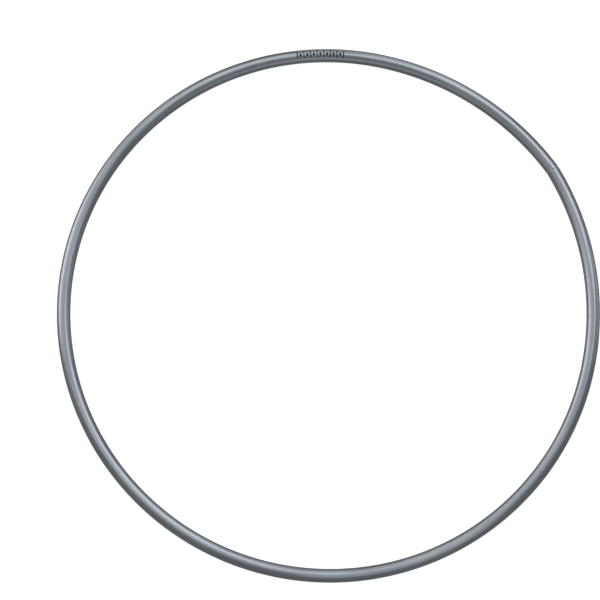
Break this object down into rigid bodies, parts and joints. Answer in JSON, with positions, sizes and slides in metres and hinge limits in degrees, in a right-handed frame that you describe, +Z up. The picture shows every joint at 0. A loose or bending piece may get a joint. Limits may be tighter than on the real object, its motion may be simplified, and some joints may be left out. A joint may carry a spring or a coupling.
{
  "type": "rhythmic hoop",
  "caption": "Round hoop of hollow satin-grey plastic tube for rhythmic gymnastics, closed by a butt joint over a pinned inner plug.",
  "frame": {"origin": "on the floor plane under the hoop's centre: the centre of the main arc, with the hoop lying flat", "axes": "+Z up along the hoop's axis, out of its plane; +Y from the centre towards the middle of the printed band; the seam of the tube lies 31 degrees from +X towards +Y"},
  "size_m": [0.8009, 0.7998, 0.02],
  "materials": {
    "tube_plastic": "satin",
    "plug_plastic": "matte",
    "pin_steel": "satin",
    "print_ink": "satin"
  },
  "bodies": {
    "root": {"hoop_tube": "tube_plastic", "joint_plug": "plug_plastic", "joint_pin_1": "pin_steel", "joint_pin_2": "pin_steel"}
  },
  "joints": []
}
